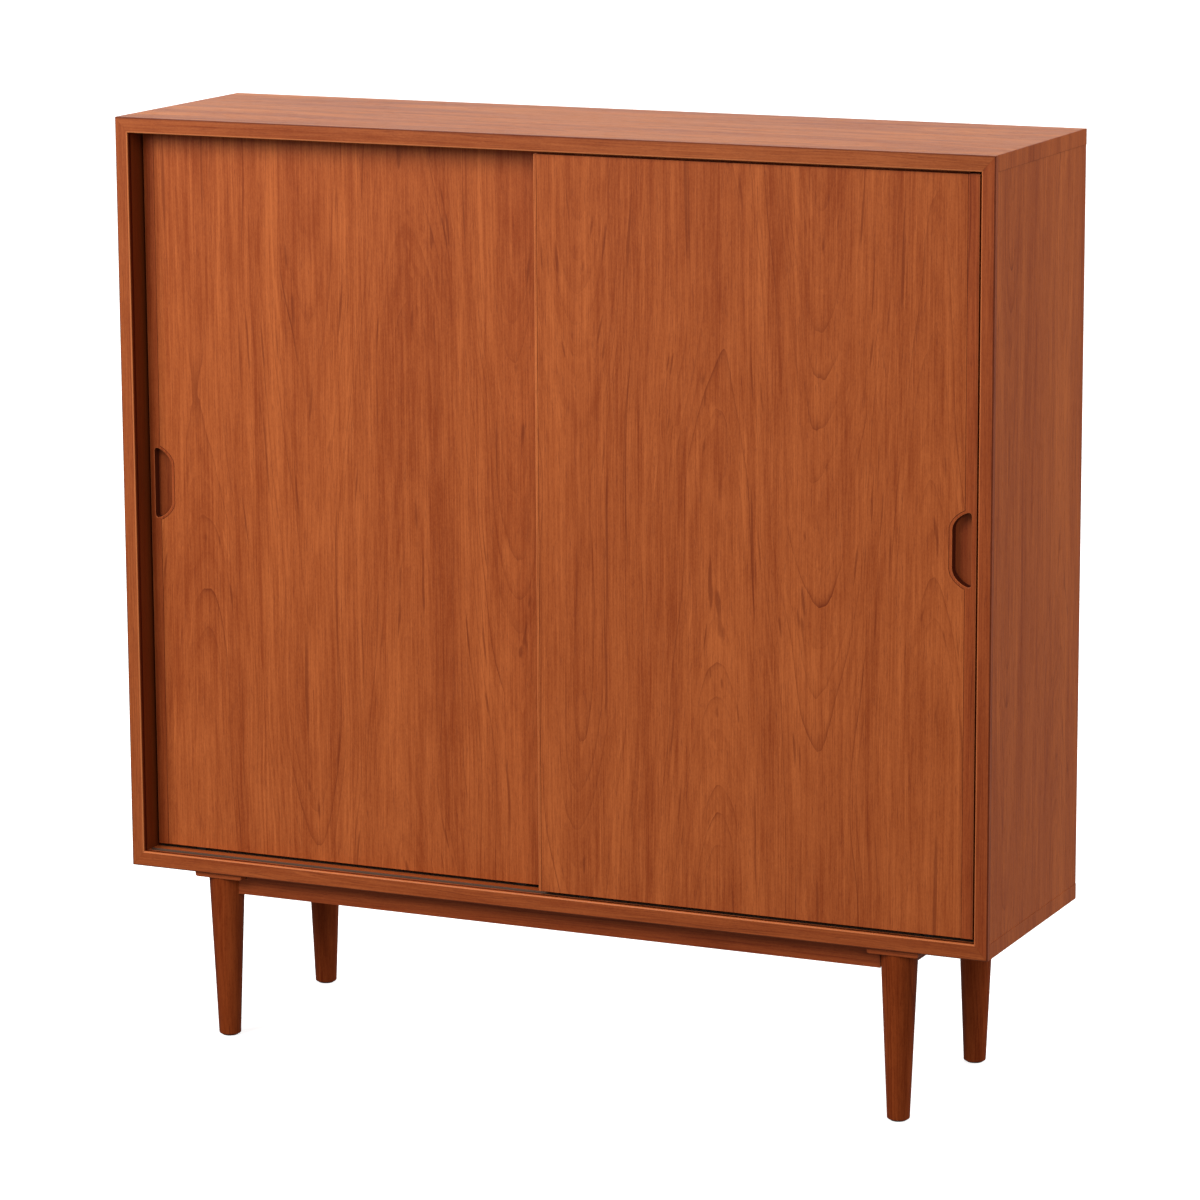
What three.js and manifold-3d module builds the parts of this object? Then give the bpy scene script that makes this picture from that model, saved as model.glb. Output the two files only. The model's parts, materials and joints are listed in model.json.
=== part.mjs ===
// A tall sideboard with two sliding doors, on a base of four turned legs.
// Millimetres. +Z is up, +X is to the right seen from the front, and the front faces -Y.
// The origin is on the floor, under the centre of the cabinet.
import * as THREE from "three";
import { mergeVertices } from "three/addons/utils/BufferGeometryUtils.js";
import Module from "manifold-3d";

const wasm = await Module();
wasm.setup();

// ---- driving dimensions ----

const WIDTH = 1200;
const DEPTH = 330;
const HEIGHT = 1215;
const BASE_HEIGHT = 225; // floor to the underside of the carcass

const TOP_T = 20;
const BOTTOM_T = 20;
const SIDE_T = 18; // at the front edge, where the side meets the opening
const BAND_T = 2; // edge band over each end of the top and the bottom
const BAND_PROUD = 0.5; // how far that band stands out past the side panel
const LIPPING_T = 8; // solid wood lipping along the front edges, front to back
const MITRE_GAP = 0.2; // hairline between two mitred lippings

const BACK_T = 5;
const BACK_INSET = 10; // rear edge of the carcass to the back panel
const BACK_GROOVE = 6; // how deep the back panel sits in its grooves

const PARTITION_T = 18;
const PARTITION_LIPPING_T = 5;
const SHELF_T = 18;
const DADO = 5; // how deep a fixed shelf is let in at each end
const FIXED_SHELF_Z = 562; // underside
const LOOSE_SHELF_Z = 880; // underside
const LOOSE_SHELF_GAP = 1; // at each end of a loose shelf
const PIN_PITCH = 32; // between the heights that a loose shelf can take
const PIN_SETBACK = 40; // from the shelf's front and rear edges
const PIN = { r: 2.5, shank: 8, collarR: 4, collarT: 1, pegR: 2.3, pegEnd: 8 };
const PIN_HOLE = { r: 2.8, depth: 9 };

const DOOR_T = 20;
const DOOR_WIDTH = 588;
const DOOR_SIDE_GAP = 4; // between a closed door and the side panel
const DOOR_BOTTOM_GAP = 4.5;
const DOOR_TOP_GAP = 3.5;
const FRONT_DOOR_SETBACK = 7; // front edge of the carcass to the front door's face
const DOOR_CLEARANCE = 6; // between the two doors
const PARTITION_CLEARANCE = 5; // rear door to the centre partition
const SHELF_INSET = 10; // partition's front edge to the shelves' front edges
const HANDLE_LIPPING = 15; // edge strip that the finger pull is cut in
const LEADING_LIPPING = 4; // thin edge strip at the other edge
const TONGUE_T = 6;
const TONGUE_HEIGHT = 10; // above the door's top edge
const TONGUE_GROOVE_W = 8;
const TONGUE_GROOVE_DEPTH = 11; // deep enough to lift the door off its rail

const PULL_WIDTH = 25;
const PULL_HEIGHT = 92;
const PULL_DEPTH = 11;
const PULL_EDGE = 6.5; // door edge to the straight side of the pull
const PULL_SWEEP = 22; // height of the sweep from the pull's far side to either end
const PULL_SMALL_R = 4.5;
const PULL_CENTRE_Z = 735;
const PULL_RIM = 4; // solid wood left round the pull, where the strip widens

const RAIL_W = 12; // plastic rail let into the bottom panel
const RAIL_T = 5;
const RAIL_GROOVE_W = 6.6;
const RAIL_GROOVE_DEPTH = 3;

const WHEEL_R = 11;
const WHEEL_W = 5;
const WHEEL_LIFT = 0.3; // running gap between wheel and rail
const WHEEL_CHAMFER = 1;
const WHEEL_BORE_R = 1.8;
const AXLE_R = 1.5;
const AXLE_GRIP = 1; // how far each end of the axle goes into the housing's wall
const HOUSING = { length: 46, width: 10, height: 22, slotLength: 28, slotWidth: 6 };
const HOUSING_INSET = 60; // door edge to the centre of a wheel

const LEG_X = 474; // leg axis from the centre
const LEG_FRONT_INSET = 29; // leg axis from the front edge of the carcass
const LEG_REAR_INSET = 26; // and from its rear edge
const LEG_TOP_R = 24;
const LEG_BOTTOM_R = 14.5;
const LEG_CHAMFER = 1.5;
const LEG_TENON_R = 10;
const GLIDE_R = 11;
const GLIDE_T = 2;
const GLIDE_CHAMFER = 0.8;
const PLATE = { length: 68, width: 50, thickness: 7, cornerR: 3.5 };
const BASE_RAIL_T = 18;
const BASE_RAIL_HEIGHT = 29;
const FIT_GAP = 0.3; // around a round joint
const JOINT_GAP = 0.15; // in a glued joint along a curve
const PAST = 1; // how far a cutter runs past the face that it opens

// ---- places worked out from them ----

const OUTER_X = WIDTH / 2;
const INNER_X = OUTER_X - SIDE_T;
const FRONT_Y = -DEPTH / 2;
const REAR_Y = DEPTH / 2;
const LIPPED_Y = FRONT_Y + LIPPING_T; // where the panels behind the lippings start
const INNER_Z = [BASE_HEIGHT + BOTTOM_T, HEIGHT - TOP_T];
const BACK_Y = [REAR_Y - BACK_INSET - BACK_T, REAR_Y - BACK_INSET];
const HALF_PARTITION = PARTITION_T / 2;

const DOOR_Z = [INNER_Z[0] + DOOR_BOTTOM_GAP, INNER_Z[1] - DOOR_TOP_GAP];
const FRONT_DOOR_Y = FRONT_Y + FRONT_DOOR_SETBACK + DOOR_T / 2; // middle of its thickness
const REAR_DOOR_Y = FRONT_DOOR_Y + DOOR_T + DOOR_CLEARANCE;
const CLOSED_EDGE_X = INNER_X - DOOR_SIDE_GAP;
const PARTITION_Y = REAR_DOOR_Y + DOOR_T / 2 + PARTITION_CLEARANCE;
const SHELF_Y = PARTITION_Y + SHELF_INSET;
const WHEEL_Z = INNER_Z[0] - RAIL_GROOVE_DEPTH + WHEEL_LIFT + WHEEL_R;

const PLATE_Z = BASE_HEIGHT - PLATE.thickness;
const LEG_Y = [FRONT_Y + LEG_FRONT_INSET, REAR_Y - LEG_REAR_INSET];

// ---- materials ----

function wood(color, roughness = 0.5) {
  return new THREE.MeshStandardMaterial({ color, roughness, metalness: 0 });
}

const VENEER = wood(0xa5582f);
const LIPPING = wood(0x9c5029);
const TURNED = wood(0x8a4522);
const PLYWOOD = wood(0x9a5730, 0.6);
const RAIL_PLASTIC = new THREE.MeshStandardMaterial({ color: 0x4a3a30, roughness: 0.45 });
const NYLON = new THREE.MeshStandardMaterial({ color: 0xe6e2d8, roughness: 0.4 });
const HOUSING_PLASTIC = new THREE.MeshStandardMaterial({ color: 0x2b2724, roughness: 0.5 });
const STEEL = new THREE.MeshStandardMaterial({ color: 0xc4c2bd, roughness: 0.25, metalness: 1 });
const GLIDE_PLASTIC = new THREE.MeshStandardMaterial({ color: 0x3a2418, roughness: 0.6 });

// ---- solids ----

const sideboard = new THREE.Group();

function add(name, geometry, material) {
  const mesh = new THREE.Mesh(geometry, material);
  mesh.name = name;
  sideboard.add(mesh);
  return mesh;
}

// A box from its lowest and highest value on each axis.
function block(x, y, z) {
  const geometry = new THREE.BoxGeometry(x[1] - x[0], y[1] - y[0], z[1] - z[0]);
  return geometry.translate((x[0] + x[1]) / 2, (y[0] + y[1]) / 2, (z[0] + z[1]) / 2);
}

// An outline in the XZ plane, made into a solid from y[0] to y[1].
function plate(shape, y) {
  const settings = { depth: y[1] - y[0], bevelEnabled: false, curveSegments: 10 };
  const geometry = new THREE.ExtrudeGeometry(shape, settings);
  return geometry.rotateX(Math.PI / 2).translate(0, y[1], 0);
}

// A turned solid about the line through (x, y), from [radius, z] pairs.
function turned(profile, x, y, segments = 32) {
  const points = profile.map(([r, z]) => new THREE.Vector2(r, z));
  const geometry = new THREE.LatheGeometry(points, segments);
  return geometry.rotateX(Math.PI / 2).translate(x, y, 0);
}

// The same, lying along Y or X instead of standing.
function turnedAlongY(profile, x, z, segments) {
  return turned(profile, 0, 0, segments).rotateX(-Math.PI / 2).translate(x, 0, z);
}

function turnedAlongX(profile, y, z, segments) {
  return turned(profile, 0, 0, segments).rotateY(Math.PI / 2).translate(0, y, z);
}

function toSolid(geometry) {
  const bare = geometry.clone();
  bare.deleteAttribute("normal");
  bare.deleteAttribute("uv");
  const merged = mergeVertices(bare, 1e-4);
  return new wasm.Manifold(
    new wasm.Mesh({
      numProp: 3,
      vertProperties: merged.attributes.position.array,
      triVerts: new Uint32Array(merged.index.array),
    }),
  );
}

function toGeometry(solid) {
  const mesh = solid.getMesh();
  const geometry = new THREE.BufferGeometry();
  geometry.setAttribute("position", new THREE.BufferAttribute(mesh.vertProperties, 3));
  geometry.setIndex(new THREE.BufferAttribute(mesh.triVerts, 1));
  return geometry;
}

function cut(geometry, cutters) {
  const rest = cutters.reduce((solid, c) => solid.subtract(toSolid(c)), toSolid(geometry));
  return toGeometry(rest);
}

function join(first, second) {
  return toGeometry(toSolid(first).add(toSolid(second)));
}

const around = (centre, width) => [centre - width / 2, centre + width / 2];

// ---- carcass ----

// The long grooves that hold the back panel, cut from the top, the bottom and the sides.
function backPanelRoom() {
  const x = INNER_X + BACK_GROOVE;
  return block([-x, x], BACK_Y, [INNER_Z[0] - BACK_GROOVE, INNER_Z[1] + BACK_GROOVE]);
}

function addTopPanel() {
  const x = OUTER_X - BAND_T;
  const panel = block([-x, x], [LIPPED_Y, REAR_Y], [INNER_Z[1], HEIGHT]);
  const groove = (y) =>
    block(
      [-INNER_X, INNER_X],
      around(y, TONGUE_GROOVE_W),
      [INNER_Z[1] - PAST, INNER_Z[1] + TONGUE_GROOVE_DEPTH],
    );
  const cuts = [groove(FRONT_DOOR_Y), groove(REAR_DOOR_Y), backPanelRoom()];
  add("top_panel", cut(panel, cuts), VENEER);
}

function addBottomPanel() {
  const x = OUTER_X - BAND_T;
  const panel = block([-x, x], [LIPPED_Y, REAR_Y], [BASE_HEIGHT, INNER_Z[0]]);
  const groove = (y) =>
    block([-INNER_X, INNER_X], around(y, RAIL_W), [INNER_Z[0] - RAIL_T, INNER_Z[0] + PAST]);
  const cuts = [groove(FRONT_DOOR_Y), groove(REAR_DOOR_Y), backPanelRoom()];
  add("bottom_panel", cut(panel, cuts), VENEER);
}

// Three heights of hole at the front and the rear, for the pins of one loose shelf.
function pinHoles(x) {
  const holes = [];
  for (const y of pinPlaces()) {
    for (const step of [-1, 0, 1]) {
      const z = LOOSE_SHELF_Z - PIN.r + step * PIN_PITCH;
      const profile = [[0, x[0]], [PIN_HOLE.r, x[0]], [PIN_HOLE.r, x[1]], [0, x[1]]];
      holes.push(turnedAlongX(profile, y, z, 12));
    }
  }
  return holes;
}

function pinPlaces() {
  return [SHELF_Y + PIN_SETBACK, BACK_Y[0] - PIN_SETBACK];
}

const fixedShelfRoom = (x) => block(x, [SHELF_Y, BACK_Y[0]], [FIXED_SHELF_Z, FIXED_SHELF_Z + SHELF_T]);

function addSidePanel(side) {
  const face = OUTER_X - BAND_PROUD;
  const x = side === "left" ? [-face, -INNER_X] : [INNER_X, face];
  const panel = block(x, [LIPPED_Y, REAR_Y], INNER_Z);
  const inward = side === "left" ? 1 : -1;
  const reach = (depth) => [-INNER_X * inward, -(INNER_X + depth) * inward].sort((a, b) => a - b);
  const cuts = [backPanelRoom(), fixedShelfRoom(reach(DADO)), ...pinHoles(reach(PIN_HOLE.depth))];
  add(`${side}_side_panel`, cut(panel, cuts), VENEER);
}

function addEndBand(name, sign, z) {
  const x = [OUTER_X - BAND_T, OUTER_X].map((v) => v * sign).sort((a, b) => a - b);
  add(name, block(x, [LIPPED_Y, REAR_Y], z), LIPPING);
}

// One mitred strip of the front frame: its four corners are outer, outer, inner, inner.
function addFrontLipping(name, corners) {
  const shape = new THREE.Shape(corners.map(([x, z]) => new THREE.Vector2(x, z)));
  add(name, plate(shape, [FRONT_Y, LIPPED_Y]), LIPPING);
}

function addFrontFrame() {
  const [low, high] = [BASE_HEIGHT, HEIGHT];
  const g = MITRE_GAP;
  const across = (outer, inner) => [
    [-OUTER_X + g, outer],
    [OUTER_X - g, outer],
    [INNER_X - g, inner],
    [-INNER_X + g, inner],
  ];
  const upright = (sign) => [
    [sign * OUTER_X, low + g],
    [sign * OUTER_X, high - g],
    [sign * INNER_X, INNER_Z[1] - g],
    [sign * INNER_X, INNER_Z[0] + g],
  ];
  addFrontLipping("front_lipping_top", across(high, INNER_Z[1]));
  addFrontLipping("front_lipping_bottom", across(low, INNER_Z[0]));
  addFrontLipping("front_lipping_left", upright(-1));
  addFrontLipping("front_lipping_right", upright(1));
}

function addPartition() {
  const x = [-HALF_PARTITION, HALF_PARTITION];
  const start = PARTITION_Y + PARTITION_LIPPING_T;
  const core = block(x, [start, BACK_Y[0]], INNER_Z);
  const cuts = [
    fixedShelfRoom([-HALF_PARTITION, -HALF_PARTITION + DADO]),
    fixedShelfRoom([HALF_PARTITION - DADO, HALF_PARTITION]),
    ...pinHoles([-HALF_PARTITION, HALF_PARTITION]),
  ];
  add("centre_partition", cut(core, cuts), VENEER);
  add("partition_lipping", block(x, [PARTITION_Y, start], INNER_Z), LIPPING);
}

function addBackPanel() {
  add("back_panel", backPanelRoom(), PLYWOOD);
}

// ---- shelves ----

function addShelves(side) {
  const sign = side === "left" ? -1 : 1;
  const span = (inner, outer) => [sign * inner, sign * outer].sort((a, b) => a - b);
  const fixed = fixedShelfRoom(span(HALF_PARTITION - DADO, INNER_X + DADO));
  add(`fixed_shelf_${side}`, fixed, VENEER);
  const x = span(HALF_PARTITION + LOOSE_SHELF_GAP, INNER_X - LOOSE_SHELF_GAP);
  const y = [SHELF_Y, BACK_Y[0] - LOOSE_SHELF_GAP];
  add(`loose_shelf_${side}`, block(x, y, [LOOSE_SHELF_Z, LOOSE_SHELF_Z + SHELF_T]), VENEER);
}

// A steel pin: a shank in the hole, a thin collar on the panel's face, and the peg under the shelf.
function shelfPin() {
  const profile = [[0, -PIN.shank], [PIN.r, -PIN.shank], [PIN.r, 0], [PIN.collarR, 0]];
  profile.push([PIN.collarR, PIN.collarT], [PIN.pegR, PIN.collarT], [PIN.pegR, PIN.pegEnd]);
  profile.push([0, PIN.pegEnd]);
  return turned(profile, 0, 0, 16);
}

function addShelfPins(side) {
  const sign = side === "left" ? -1 : 1;
  const walls = { outer: [INNER_X, -1], inner: [HALF_PARTITION, 1] };
  const ends = { front: pinPlaces()[0], rear: pinPlaces()[1] };
  for (const [wall, [face, towards]] of Object.entries(walls)) {
    for (const [end, y] of Object.entries(ends)) {
      const pin = shelfPin().rotateY((sign * towards * Math.PI) / 2);
      pin.translate(sign * face, y, LOOSE_SHELF_Z - PIN.r);
      add(`shelf_pin_${side}_${wall}_${end}`, pin, STEEL);
    }
  }
}

// ---- doors ----

// The finger pull's outline, grown by extra all round: a D with its straight side near the door's edge.
function pullOutline(edgeX, inward, extra = 0) {
  const near = edgeX + inward * (PULL_EDGE - extra);
  const far = edgeX + inward * (PULL_EDGE + PULL_WIDTH + extra);
  const [low, high] = around(PULL_CENTRE_Z, PULL_HEIGHT + 2 * extra);
  const smallR = PULL_SMALL_R + extra;
  const wide = PULL_WIDTH - PULL_SMALL_R + extra;
  const tall = PULL_SWEEP + extra;
  const knee = far - inward * 0.39 * wide;
  const shape = new THREE.Shape();
  shape.moveTo(near, low + smallR);
  shape.quadraticCurveTo(near, low, near + inward * smallR, low);
  shape.bezierCurveTo(knee, low + 0.18 * tall, far, low + 0.64 * tall, far, low + tall);
  shape.lineTo(far, high - tall);
  shape.bezierCurveTo(far, high - 0.64 * tall, knee, high - 0.18 * tall, near + inward * smallR, high);
  shape.quadraticCurveTo(near, high, near, high - smallR);
  return shape;
}

function wheelRoom(x, y) {
  const z = [DOOR_Z[0] - PAST, DOOR_Z[0] + HOUSING.height];
  return block(around(x, HOUSING.length), around(y, HOUSING.width), z);
}

function addRoller(name, x, y) {
  const z = [DOOR_Z[0], DOOR_Z[0] + HOUSING.height];
  const shell = block(around(x, HOUSING.length), around(y, HOUSING.width), z);
  const slotZ = [z[0] - PAST, WHEEL_Z + WHEEL_R + 1];
  const slot = block(around(x, HOUSING.slotLength), around(y, HOUSING.slotWidth), slotZ);
  const half = HOUSING.slotWidth / 2 + AXLE_GRIP;
  const axle = [[0, y - half], [AXLE_R, y - half], [AXLE_R, y + half], [0, y + half]];
  const pin = turnedAlongY(axle, x, WHEEL_Z, 12);
  add(`${name}_housing`, join(cut(shell, [slot]), pin), HOUSING_PLASTIC);

  const w = WHEEL_W / 2;
  const c = WHEEL_CHAMFER;
  const rim = [[WHEEL_BORE_R, -w], [WHEEL_R - c, -w], [WHEEL_R, c - w], [WHEEL_R, w - c]];
  rim.push([WHEEL_R - c, w], [WHEEL_BORE_R, w], [WHEEL_BORE_R, -w]);
  const wheel = turnedAlongY(rim, 0, 0, 24);
  add(`${name}_wheel`, wheel.translate(x, y, WHEEL_Z), NYLON);
}

// A door: veneered core, a wide strip that holds the pull, a thin one at the other edge, two rollers.
function addDoor(side) {
  const inward = side === "left" ? 1 : -1;
  const edge = -inward * CLOSED_EDGE_X;
  const y = side === "left" ? REAR_DOOR_Y : FRONT_DOOR_Y;
  const span = (from, to) => [edge + inward * from, edge + inward * to].sort((a, b) => a - b);
  const thickness = around(y, DOOR_T);
  const pullY = [thickness[0] - PAST, thickness[0] + PULL_DEPTH];
  const pull = plate(pullOutline(edge, inward), pullY);

  const coreX = span(HANDLE_LIPPING, DOOR_WIDTH - LEADING_LIPPING);
  const core = block(coreX, thickness, DOOR_Z);
  const tongueZ = [DOOR_Z[1] - PAST, DOOR_Z[1] + TONGUE_HEIGHT];
  const tongue = block(coreX, around(y, TONGUE_T), tongueZ);
  const wheels = [HOUSING_INSET, DOOR_WIDTH - HOUSING_INSET].map((d) => edge + inward * d);
  const rimRoomY = [thickness[0] - PAST, thickness[1] + PAST];
  const rimRoom = plate(pullOutline(edge, inward, PULL_RIM + JOINT_GAP), rimRoomY);
  const cuts = [rimRoom, ...wheels.map((x) => wheelRoom(x, y))];
  add(`${side}_door_panel`, cut(join(core, tongue), cuts), VENEER);

  const strip = block(span(0, HANDLE_LIPPING), thickness, DOOR_Z);
  const rim = plate(pullOutline(edge, inward, PULL_RIM), thickness);
  add(`${side}_door_pull_lipping`, cut(join(strip, rim), [pull]), LIPPING);
  const thin = block(span(DOOR_WIDTH - LEADING_LIPPING, DOOR_WIDTH), thickness, DOOR_Z);
  add(`${side}_door_leading_lipping`, thin, LIPPING);

  addRoller(`${side}_door_roller_1`, wheels[0], y);
  addRoller(`${side}_door_roller_2`, wheels[1], y);
}

function addDoorRail(name, y) {
  const z = [INNER_Z[0] - RAIL_T, INNER_Z[0]];
  const rail = block([-INNER_X, INNER_X], around(y, RAIL_W), z);
  const grooveX = [-INNER_X - PAST, INNER_X + PAST];
  const grooveZ = [z[1] - RAIL_GROOVE_DEPTH, z[1] + PAST];
  const groove = block(grooveX, around(y, RAIL_GROOVE_W), grooveZ);
  add(name, cut(rail, [groove]), RAIL_PLASTIC);
}

// ---- base ----

// A leg with its round tenon, grown by extra all round when it is used as a cutter.
function legSolid(x, y, extra = 0) {
  const profile = [[0, GLIDE_T - extra], [LEG_BOTTOM_R - LEG_CHAMFER + extra, GLIDE_T - extra]];
  profile.push([LEG_BOTTOM_R + extra, GLIDE_T + LEG_CHAMFER]);
  profile.push([LEG_TOP_R + extra, PLATE_Z], [LEG_TENON_R + extra, PLATE_Z]);
  profile.push([LEG_TENON_R + extra, BASE_HEIGHT + extra], [0, BASE_HEIGHT + extra]);
  return turned(profile, x, y);
}

// A block with its lower end corners rounded, screwed under the carcass over each leg.
function addLegPlate(name, x, y) {
  const half = PLATE.length / 2;
  const r = PLATE.cornerR;
  const shape = new THREE.Shape();
  shape.moveTo(x - half, BASE_HEIGHT);
  shape.lineTo(x + half, BASE_HEIGHT);
  shape.lineTo(x + half, PLATE_Z + r);
  shape.quadraticCurveTo(x + half, PLATE_Z, x + half - r, PLATE_Z);
  shape.lineTo(x - half + r, PLATE_Z);
  shape.quadraticCurveTo(x - half, PLATE_Z, x - half, PLATE_Z + r);
  const body = plate(shape, around(y, PLATE.width));
  const holeR = LEG_TENON_R + FIT_GAP;
  const hole = [[0, PLATE_Z - PAST], [holeR, PLATE_Z - PAST]];
  hole.push([holeR, BASE_HEIGHT + PAST], [0, BASE_HEIGHT + PAST]);
  add(name, cut(body, [turned(hole, x, y)]), LIPPING);
}

function addLeg(place, x, y) {
  add(`leg_${place}`, legSolid(x, y), TURNED);
  addLegPlate(`leg_plate_${place}`, x, y);
  const r = GLIDE_R;
  const glide = [[0, 0], [r - GLIDE_CHAMFER, 0], [r, GLIDE_CHAMFER], [r, GLIDE_T], [0, GLIDE_T]];
  add(`glide_${place}`, turned(glide, x, y, 24), GLIDE_PLASTIC);
}

const LEG_PLACES = [];
for (const [row, y] of [["front", LEG_Y[0]], ["rear", LEG_Y[1]]]) {
  for (const [column, sx] of [["left", -1], ["right", 1]]) {
    LEG_PLACES.push([`${row}_${column}`, sx * LEG_X, y]);
  }
}

// A rail between two leg axes, coped round the legs and notched round their plates.
function addBaseRail(name, x, y) {
  const rail = block(x, y, [BASE_HEIGHT - BASE_RAIL_HEIGHT, BASE_HEIGHT]);
  const cuts = [];
  for (const [, lx, ly] of LEG_PLACES) {
    cuts.push(legSolid(lx, ly, FIT_GAP));
    const notch = [PLATE_Z - FIT_GAP, BASE_HEIGHT + PAST];
    const grow = 2 * FIT_GAP;
    cuts.push(block(around(lx, PLATE.length + grow), around(ly, PLATE.width + grow), notch));
  }
  add(name, cut(rail, cuts), LIPPING);
}

function addBaseRails() {
  // Each runs from inside one leg to inside the next, so that coping leaves no loose end.
  const x = [-LEG_X + LEG_TENON_R, LEG_X - LEG_TENON_R];
  const y = [LEG_Y[0] + LEG_TENON_R, LEG_Y[1] - LEG_TENON_R];
  addBaseRail("base_rail_front", x, around(LEG_Y[0], BASE_RAIL_T));
  addBaseRail("base_rail_rear", x, around(LEG_Y[1], BASE_RAIL_T));
  addBaseRail("base_rail_left", around(-LEG_X, BASE_RAIL_T), y);
  addBaseRail("base_rail_right", around(LEG_X, BASE_RAIL_T), y);
}

// ---- the whole sideboard ----

addTopPanel();
addBottomPanel();
addSidePanel("left");
addSidePanel("right");
for (const [side, sign] of [["left", -1], ["right", 1]]) {
  addEndBand(`end_band_top_${side}`, sign, [INNER_Z[1], HEIGHT]);
  addEndBand(`end_band_bottom_${side}`, sign, [BASE_HEIGHT, INNER_Z[0]]);
}
addFrontFrame();
addPartition();
addBackPanel();
for (const side of ["left", "right"]) {
  addShelves(side);
  addShelfPins(side);
  addDoor(side);
}
addDoorRail("door_rail_front", FRONT_DOOR_Y);
addDoorRail("door_rail_rear", REAR_DOOR_Y);
for (const [place, x, y] of LEG_PLACES) addLeg(place, x, y);
addBaseRails();

export default sideboard;
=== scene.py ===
"""A tall teak sideboard with two sliding doors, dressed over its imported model."""

import json
import math
from collections import namedtuple

import bmesh
import bpy
from mathutils import Matrix, Vector


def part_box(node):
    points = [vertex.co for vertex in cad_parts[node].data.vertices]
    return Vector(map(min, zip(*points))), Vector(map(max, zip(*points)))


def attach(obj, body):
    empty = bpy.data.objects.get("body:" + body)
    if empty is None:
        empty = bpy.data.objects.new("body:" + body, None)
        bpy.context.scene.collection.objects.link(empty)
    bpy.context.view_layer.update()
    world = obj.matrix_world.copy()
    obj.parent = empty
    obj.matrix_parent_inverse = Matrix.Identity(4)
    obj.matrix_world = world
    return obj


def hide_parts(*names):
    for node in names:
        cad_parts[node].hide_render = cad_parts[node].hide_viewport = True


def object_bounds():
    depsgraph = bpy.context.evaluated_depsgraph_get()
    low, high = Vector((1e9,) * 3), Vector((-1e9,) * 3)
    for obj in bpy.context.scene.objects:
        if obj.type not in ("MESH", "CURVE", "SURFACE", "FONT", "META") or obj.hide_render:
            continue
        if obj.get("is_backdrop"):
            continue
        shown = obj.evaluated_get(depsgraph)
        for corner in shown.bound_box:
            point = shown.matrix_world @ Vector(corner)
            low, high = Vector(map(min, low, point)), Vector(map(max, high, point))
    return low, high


bl_info = {
    "name": "Sideboard with sliding doors",
    "version": (1, 0, 0),
    "blender": (4, 5, 0),
    "location": "View3D > Sidebar > Sideboard",
    "description": "Veneered and turned pieces of a sideboard, built round its packed model",
    "category": "Object",
}

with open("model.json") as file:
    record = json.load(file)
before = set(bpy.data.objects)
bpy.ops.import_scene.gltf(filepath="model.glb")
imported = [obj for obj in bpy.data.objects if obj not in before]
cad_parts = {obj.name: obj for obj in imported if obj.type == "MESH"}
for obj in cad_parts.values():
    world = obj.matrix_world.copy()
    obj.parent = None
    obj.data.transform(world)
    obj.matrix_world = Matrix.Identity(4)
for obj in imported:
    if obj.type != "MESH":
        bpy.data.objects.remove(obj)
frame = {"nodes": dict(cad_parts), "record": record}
CAD_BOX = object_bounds()

SIDES = ("left", "right")
ROWS = ("front", "rear")
MM = 0.001

# Measures that differ by less than this are taken to be the same.
NEAR = 0.3 * MM

# The face attribute that holds painted highlights on rounded edges, and painted shade, dark joint
# lines and grime.
PAINTED_LIGHT_AND_JOINTS = "arris"

# Roundings of the small fittings and of the base.
PIN_ARRIS = 0.25 * MM
MOULDED_ARRIS = 0.3 * MM
HOUSING_ARRIS = 0.4 * MM
PLATE_ARRIS = 1.0 * MM
RAIL_ARRIS = 1.2 * MM
LEG_SHOULDER = 0.4 * MM
TENON_RADIUS = 10 * MM

# From a door's edge to the middle of its finger pull, and from there past the pull's ends.
PULL_INSET = 19 * MM
PULL_REACH = 60 * MM


# ---- sizes and colours that a user would change ----


class SideboardSizes(bpy.types.PropertyGroup):
    """Radii and counts of the finished edges."""

    outer_arris: bpy.props.FloatProperty(
        name="Outer arris",
        description="Rounding of the front frame's outer edges",
        default=2.6 * MM,
        unit="LENGTH",
    )
    corner_arris: bpy.props.FloatProperty(
        name="Corner arris",
        description="Rounding of the carcass's front corners",
        default=1.6 * MM,
        unit="LENGTH",
    )
    inner_arris: bpy.props.FloatProperty(
        name="Inner arris",
        description="Rounding of the front frame's inner edges",
        default=1.9 * MM,
        unit="LENGTH",
    )
    board_arris: bpy.props.FloatProperty(
        name="Board arris",
        description="Easing of the edges of panels, shelves and rails",
        default=0.5 * MM,
        unit="LENGTH",
    )
    door_arris: bpy.props.FloatProperty(
        name="Door arris",
        description="Rounding of the door edges",
        default=0.9 * MM,
        unit="LENGTH",
    )
    pull_arris: bpy.props.FloatProperty(
        name="Pull arris",
        description="Rounding of the finger pull's rim",
        default=0.7 * MM,
        unit="LENGTH",
    )
    pull_cove: bpy.props.FloatProperty(
        name="Pull cove",
        description="Rounding where the finger pull's walls meet its floor",
        default=0.6 * MM,
        unit="LENGTH",
    )
    pull_height: bpy.props.FloatProperty(
        name="Pull height",
        description="Height of the finger pulls' centres above the floor",
        default=735 * MM,
        unit="LENGTH",
    )
    joint_line: bpy.props.FloatProperty(
        name="Joint line",
        description="Easing of both edges of a joint between veneer and solid wood",
        default=0.3 * MM,
        unit="LENGTH",
    )
    leg_foot_radius: bpy.props.FloatProperty(
        name="Leg foot radius",
        description="Radius of a leg where it meets its glide",
        default=14.5 * MM,
        unit="LENGTH",
    )
    leg_foot_rounding: bpy.props.FloatProperty(
        name="Leg foot rounding",
        description="Rounding of a leg's lower edge",
        default=2.0 * MM,
        unit="LENGTH",
    )
    turning_steps: bpy.props.IntProperty(
        name="Turning steps",
        description="Steps round each turned piece",
        default=72,
        min=12,
    )


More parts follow.
